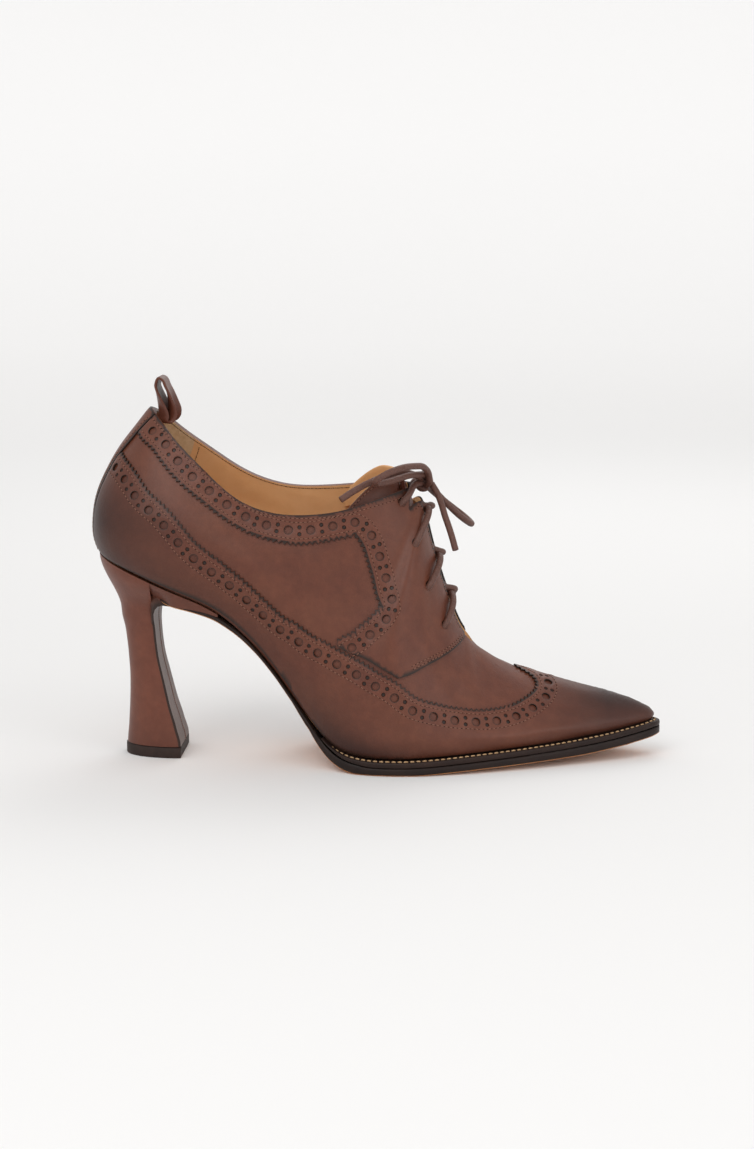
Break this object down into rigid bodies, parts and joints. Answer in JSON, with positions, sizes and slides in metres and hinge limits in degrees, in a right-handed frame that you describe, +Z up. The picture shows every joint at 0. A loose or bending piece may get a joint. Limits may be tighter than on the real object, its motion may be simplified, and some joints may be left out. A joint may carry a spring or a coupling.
{
  "type": "heeled oxford shoe",
  "caption": "Right-foot laced leather oxford shoe with wing toe cap, slim high block heel, welted leather sole and open collar.",
  "frame": {"origin": "on the floor under the ball of the foot, at the middle of the sole's flat tread", "axes": "+X towards the toe, +Y towards the inner (medial) side of a right foot, +Z up"},
  "size_m": [0.2459, 0.0882, 0.1641],
  "materials": {
    "upper_leather": "burnished reddish-brown calf, soft gloss",
    "sock_leather": "smooth tan lining leather, matte",
    "sole_leather": "dark brown dyed edge, satin",
    "welt_leather": "dark brown with cream-tan stitches",
    "heel_leather": "covered in the upper's leather, soft gloss",
    "top_piece_rubber": "dark brown, matte",
    "lace_cord": "round waxed cotton cord"
  },
  "bodies": {
    "root": {"upper": "upper_leather", "foxing": "upper_leather", "facing_lateral": "upper_leather", "facing_medial": "upper_leather", "backstay": "upper_leather", "pull_loop": "upper_leather", "tongue": "upper_leather", "insole": "sock_leather", "welt": "welt_leather", "outsole": "sole_leather", "heel": "heel_leather", "top_piece": "top_piece_rubber", "lace_cross_1": "lace_cord", "lace_cross_2": "lace_cord", "lace_cross_3": "lace_cord", "lace_knot": "lace_cord", "lace_loop_lateral": "lace_cord", "lace_loop_medial": "lace_cord", "lace_end_1": "lace_cord", "lace_end_2": "lace_cord"}
  },
  "joints": []
}
